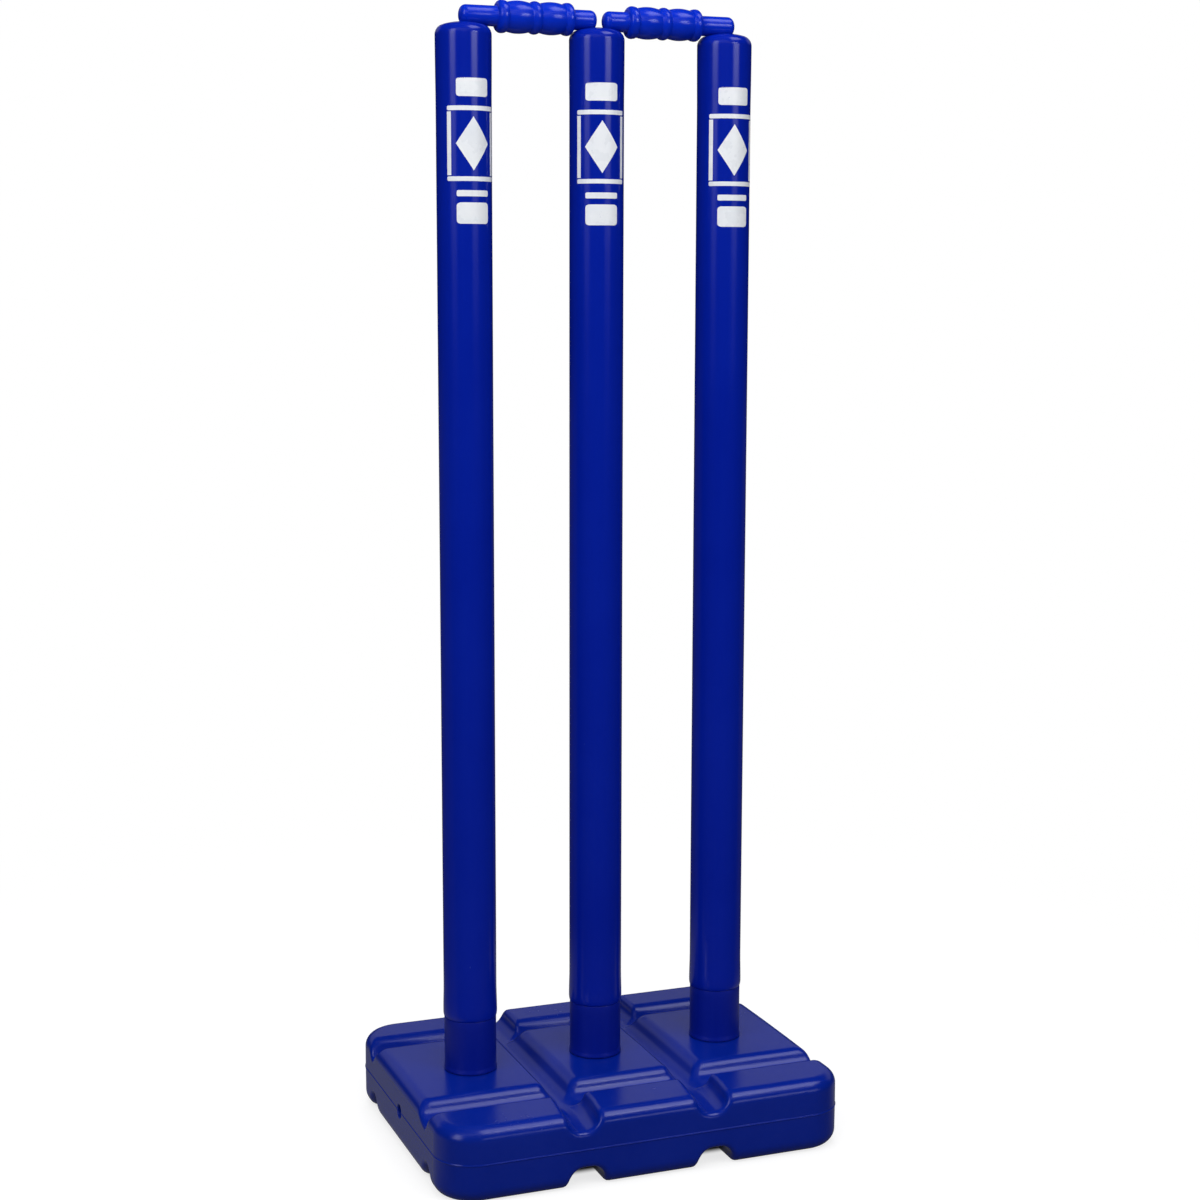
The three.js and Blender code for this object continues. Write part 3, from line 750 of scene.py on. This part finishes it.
# The bails, in millimetres: the gap between head and barrel, the gap between the two bails' tips, how
# far the long spigot runs past its stump's axis, the rounding of the tips, the barrel's radii and
# widths, and how far to the right each bail lies
BARREL_GAP = 1.625
TIP_GAP = 6.2
OVERHANG = 5.4
TIP_ROUND = 4.2
TIP_CROWN = 0.5
NECK = 9.6
END_BEAD = 10.9
END_BEAD_WIDTH = 6.9
END_BEAD_NOSE = 3.4
END_BEAD_STEP = 0.9
MIDDLE_BEAD_RISE = 1.35
MIDDLE_BEAD_WIDTH = 7.0
BULGE_RISE = 1.25
LEFT_SHIFT = 2.4
RIGHT_SHIFT = 1.1
BAIL_SIDES = 96


def tip_profile():
    tip = [(0.0, 0.0), (BAIL_SPIGOT - TIP_ROUND - 0.2, 0.35)]
    for t in quarter(10):
        radius = BAIL_SPIGOT - TIP_ROUND * (1 - math.sin(t))
        tip.append((radius, TIP_CROWN + TIP_ROUND * (1 - math.cos(t))))
    return tip


def half_barrel_profile(barrel):
    """Half a barrel from its spigot to the top of the bead in its middle, with heights from its end."""
    nose = BAIL_SPIGOT + END_BEAD_STEP
    bead_rise = END_BEAD - NECK
    half = [(BAIL_SPIGOT, -0.35), (BAIL_SPIGOT + 0.12, -0.1), (BAIL_SPIGOT + 0.4, 0.0)]
    for t in quarter(12):
        half.append((nose + (END_BEAD - nose) * math.sin(t), END_BEAD_NOSE * (1 - math.cos(t))))
    for t in quarter(8, 1):
        height = END_BEAD_NOSE + (END_BEAD_WIDTH - END_BEAD_NOSE) * math.sin(t)
        half.append((NECK + bead_rise * math.cos(t), height))
    bulge_end = (barrel - MIDDLE_BEAD_WIDTH) / 2
    for share in steps(24, 1):
        height = END_BEAD_WIDTH + (bulge_end - END_BEAD_WIDTH) * share
        half.append((NECK + BULGE_RISE * (1 - (2 * share - 1) ** 2), height))
    for share in steps(7, 1):
        height = bulge_end + MIDDLE_BEAD_WIDTH / 2 * share
        half.append((NECK + MIDDLE_BEAD_RISE * (1 - (share - 1) ** 2), height))
    return half


def bail_profile():
    """A bail's profile from the tip of its short spigot, and the height of its barrel's middle."""
    from_stump = HEAD + BARREL_GAP
    barrel = SPACING - 2 * from_stump
    short = from_stump - TIP_GAP / 2
    long = from_stump + OVERHANG
    length = short + barrel + long
    tip = tip_profile()
    half = half_barrel_profile(barrel)
    profile = tip + [(BAIL_SPIGOT, 8.0), (BAIL_SPIGOT, 12.0)]
    profile += [(r, short + z) for r, z in half]
    profile += [(r, short + barrel - z) for r, z in reversed(half[:-1])]
    profile += [(BAIL_SPIGOT, short + barrel + 6.0), (BAIL_SPIGOT, short + barrel + 14.0)]
    profile += [(r, length - z) for r, z in reversed(tip)]
    return profile, short + barrel / 2


def make_bail(side, middle, turn):
    """A bail with its barrel's middle at a place along X. turn is 1 where its long spigot is on the
    right, and -1 where it is on the left."""
    profile, centre = bail_profile()
    points, faces = revolve(profile, BAIL_SIDES, False)
    along = points[:, 2] - centre
    points = np.stack([along * turn, points[:, 0] * turn, points[:, 1]], 1)
    points += np.array([middle, 0.0, BAIL_AXIS])
    bail = make_object(f"bail_shell_{side}", points, faces, "bail_plastic", 28.0)
    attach(bail, f"bail_{side}")
    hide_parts(f"bail_{side}")


make_bail("right", SPACING / 2 + RIGHT_SHIFT, 1.0)
make_bail("left", LEFT_SHIFT - SPACING / 2, -1.0)

# The prints in millimetres: bars as (low, high, width, corner), a border as (low, high, width, line), a
# diamond as (low, high, width), and how far the film stands out and sinks in. The turns are in degrees
HIGH_BAR = (729.0, 741.0, 23.5, 2.0)
LOW_BARS = ((664.0, 668.0, 23.5, 1.0), (646.0, 660.0, 23.5, 2.4))
BORDER = (674.0, 723.0, 37.0, 3.0)
BORDER_CORNER = 1.0
BORDER_GAP = 0.8
DIAMOND = (681.0, 716.0, 24.0)
FILM = 0.12
FILM_SUNK = 0.05
LEAST_HALF_WIDTH = 0.05
PRINT_TURNS = {"left": 2.5, "middle": -9.0, "right": 0.0}


def curved_patch(rows, x, turn):
    """A thin film on a tube from rows of (height, left, right), all in millimetres round the tube."""
    columns = 14
    outer = TUBE + FILM
    points = []
    for radius in (outer, TUBE - FILM_SUNK):
        for height, left, right in rows:
            for column in range(columns + 1):
                around = left + (right - left) * column / columns
                angle = turn + around / outer
                points.append((x + radius * math.sin(angle), -radius * math.cos(angle), height))
    width = columns + 1
    layer = len(rows) * width
    faces = []
    for row in range(len(rows) - 1):
        for column in range(columns):
            a = row * width + column
            faces.append((a, a + 1, a + width + 1, a + width))
            faces.append((layer + a + width, layer + a + width + 1, layer + a + 1, layer + a))
        for a in (row * width, row * width + columns):
            faces.append((a, a + width, layer + a + width, layer + a))
    for row in (0, len(rows) - 1):
        for column in range(columns):
            a = row * width + column
            faces.append((a, layer + a, layer + a + 1, a + 1))
    return points, faces


def bar_rows(low, high, width, corner):
    """A bar with rounded corners."""
    rows = []
    for height in np.linspace(low, high, 25):
        edge = min(height - low, high - height)
        trim = 0.0
        if edge < corner:
            trim = corner - math.sqrt(max(corner ** 2 - (corner - edge) ** 2, 0.0))
        half = max(width / 2 - trim, LEAST_HALF_WIDTH)
        rows.append((height, -half, half))
    return rows


def diamond_rows(low, high, width):
    middle = (low + high) / 2
    rows = []
    for height in np.linspace(low, high, 31):
        half = max(width / 2 * (1 - abs(height - middle) / (middle - low)), LEAST_HALF_WIDTH)
        rows.append((height, -half, half))
    return rows


def border_rows(low, high, width, line):
    """The two rails and two uprights of a border, with a gap between them."""
    half = width / 2
    rails = ((low, low + line), (high - line, high))
    parts = [bar_rows(*rail, width, BORDER_CORNER) for rail in rails]
    for side in (-1, 1):
        left, right = sorted((side * half, side * (half - line)))
        heights = np.linspace(low + line + BORDER_GAP, high - line - BORDER_GAP, 25)
        parts.append([(height, left, right) for height in heights])
    return parts


def make_print(side, x, turn):
    parts = [bar_rows(*HIGH_BAR)] + border_rows(*BORDER) + [diamond_rows(*DIAMOND)]
    parts += [bar_rows(*bar) for bar in LOW_BARS]
    points = []
    faces = []
    for rows in parts:
        more, sides = curved_patch(rows, x, math.radians(turn))
        faces += [tuple(index + len(points) for index in face) for face in sides]
        points += more
    film = make_object(f"print_{side}", points, faces, "print", 30.0)
    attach(film, f"stump_{side}")


for side, x in STUMPS.items():
    make_print(side, x, PRINT_TURNS[side])


# Floor, light and backdrop, in metres. The floor fades into the backdrop between two distances
FLOOR_HALF = 9.0
FLOOR_FADE = (0.35, 0.95)
# The half sizes and soft edge of the painted shadow under the stand, where the floor's glow is cut
PAINTED_SHADOW_HALF = (0.135, 0.080)
PAINTED_SHADOW_EDGE = 0.010


def make_floor():
    """A pale floor that holds the shadow, has a painted shadow under the stand where its glow is cut, and
    runs out into the backdrop. In reflections it is a painted glow, pale at the sides and back of the
    stand, and dark in front."""
    n = material_nodes("floor")
    path = n.node("ShaderNodeLightPath").outputs
    x, y, _ = n.split()
    away = n.math("SQRT", n.math("ADD", n.math("MULTIPLY", x, x), n.math("MULTIPLY", y, y)))
    far = n.math("MULTIPLY", n.remap(away, *FLOOR_FADE, 0.0, 1.0, True), path["Is Camera Ray"])
    tone = n.mottle(n.noise(3.0, detail=3.0), grey(0.29), grey(0.31))
    tone = n.mix(far, tone, grey(0.0))
    diffuse = n.node("ShaderNodeBsdfDiffuse")
    n.link(tone, diffuse.inputs["Color"])
    # Painted shadow: the floor's own glow falls to nothing under the stand, so the floor is dark there
    aside = n.math("SUBTRACT", n.math("ABSOLUTE", x), PAINTED_SHADOW_HALF[0])
    ahead = n.math("SUBTRACT", n.math("ABSOLUTE", y), PAINTED_SHADOW_HALF[1])
    beyond_painted_shadow = n.remap(n.math("MAXIMUM", aside, ahead), 0.0, PAINTED_SHADOW_EDGE, 0.0, 1.0, True)
    own = n.math("MULTIPLY", n.remap(far, 0.0, 1.0, 0.76, 1.0), path["Is Camera Ray"])
    own = n.math("MULTIPLY", own, beyond_painted_shadow)
    both = n.node("ShaderNodeAddShader")
    n.link(diffuse.outputs[0], both.inputs[0])
    n.link(n.glow("ShaderNodeEmission", own), both.inputs[1])
    # Painted reflection: the plastic mirrors the floor as a glow that is pale at the back and sides of the
    # stand, dark in front, and cut under the stand
    painted_glow_to_back = n.remap(y, -0.13, -0.05, 0.04, 0.20, True)
    painted_reflection_glow = n.math("MULTIPLY", painted_glow_to_back, n.remap(away, 0.28, 0.50, 1.0, 0.2, True))
    painted_reflection_glow = n.math("MULTIPLY", painted_reflection_glow, beyond_painted_shadow)
    mirrored = n.node("ShaderNodeMixShader")
    n.link(path["Is Glossy Ray"], mirrored.inputs[0])
    n.link(both.outputs[0], mirrored.inputs[1])
    n.link(n.glow("ShaderNodeEmission", painted_reflection_glow), mirrored.inputs[2])
    n.link(mirrored.outputs[0], n.output.inputs["Surface"])
    half = FLOOR_HALF
    corners = [(-half, -half, 0), (half, -half, 0), (half, half, 0), (-half, half, 0)]
    mesh = bpy.data.meshes.new("floor")
    mesh.from_pydata(corners, [], [(0, 1, 2, 3)])
    mesh.materials.append(n.block)
    floor = bpy.data.objects.new("floor", mesh)
    scene.collection.objects.link(floor)


make_floor()

# What the plastic mirrors: soft boxes as (middle, half width, low, high, soft edge, strength), in
# degrees round from the front towards the right and up from the horizon, and the dark between them.
# The plain surround is what lights it
SOFT_BOXES = (
    (-62.0, 11.0, 5.0, 40.0, 5.0, 2.5),
    (28.0, 12.0, 5.0, 9.5, 4.0, 4.0),
    (52.0, 30.0, 47.0, 73.0, 7.0, 2.8),
    (159.0, 60.0, 12.0, 31.0, 6.0, 0.28),
)
DARK = 0.006
PLAIN = 0.18


def set_world():
    """A white backdrop for the camera, a plain surround that lights, and soft boxes for the plastic."""
    scene.world = bpy.data.worlds.new("studio")
    n = Nodes(scene.world, "ShaderNodeOutputWorld", "Generated")
    x, y, z = n.split()
    round_from_front = n.math("DEGREES", n.math("ARCTAN2", x, n.math("MULTIPLY", y, -1.0)))
    up = n.math("DEGREES", n.math("ARCSINE", z))
    mirrored = DARK
    for middle, half, low, high, soft, strength in SOFT_BOXES:
        off = n.math("ABSOLUTE", n.math("SUBTRACT", round_from_front, middle))
        off = n.math("MINIMUM", off, n.math("SUBTRACT", 360.0, off))
        box = n.remap(off, half - soft, half + soft, strength, 0.0, True)
        box = n.math("MULTIPLY", box, n.remap(up, low - soft, low + soft, 0.0, 1.0, True))
        box = n.math("MULTIPLY", box, n.remap(up, high - soft, high + soft, 1.0, 0.0, True))
        mirrored = n.math("ADD", box, mirrored)
    path = n.node("ShaderNodeLightPath").outputs
    mirrored = n.math("MULTIPLY", mirrored, path["Is Glossy Ray"])
    plain = n.math("MULTIPLY", n.math("SUBTRACT", 1.0, path["Is Glossy Ray"]), PLAIN)
    strength = n.math("MAXIMUM", n.math("ADD", mirrored, plain), path["Is Camera Ray"])
    n.link(n.glow("ShaderNodeBackground", strength), n.output.inputs["Surface"])


set_world()


def add_light(name, place, target, size, power, mirrored=False):
    """A soft light that the plastic doesn't mirror, or one that it only mirrors. Power in watts."""
    data = bpy.data.lights.new(name, "AREA")
    data.shape = "RECTANGLE"
    data.size, data.size_y = size
    data.energy = power
    light = bpy.data.objects.new(name, data)
    light.visible_glossy = mirrored
    light.visible_diffuse = not mirrored
    scene.collection.objects.link(light)
    turn = (Vector(target) - Vector(place)).to_track_quat("-Z", "Y").to_matrix().to_4x4()
    light.matrix_world = Matrix.Translation(place) @ turn


add_light("key_left", (-1.2, -0.55, 1.35), (0.0, 0.0, 0.55), (0.6, 1.0), 6.5)
add_light("key_right", (0.62, -1.2, 1.35), (0.0, 0.0, 0.55), (0.6, 1.0), 6.5)
add_light("fill", (-0.40, -1.15, 1.5), (0.0, 0.0, 0.5), (1.2, 0.9), 15.0)
add_light("overhead", (0.0, 0.1, 2.2), (0.0, 0.0, 0.3), (1.2, 1.2), 12.0)
add_light("back_fill", (0.4, 1.7, 1.2), (0.0, 0.0, 0.4), (1.2, 0.9), 10.0)
add_light("glint", (0.42, -0.87, 1.06), (0.0, 0.0, 0.79), (0.40, 0.12), 0.8, mirrored=True)

scene.view_settings.view_transform = "Standard"
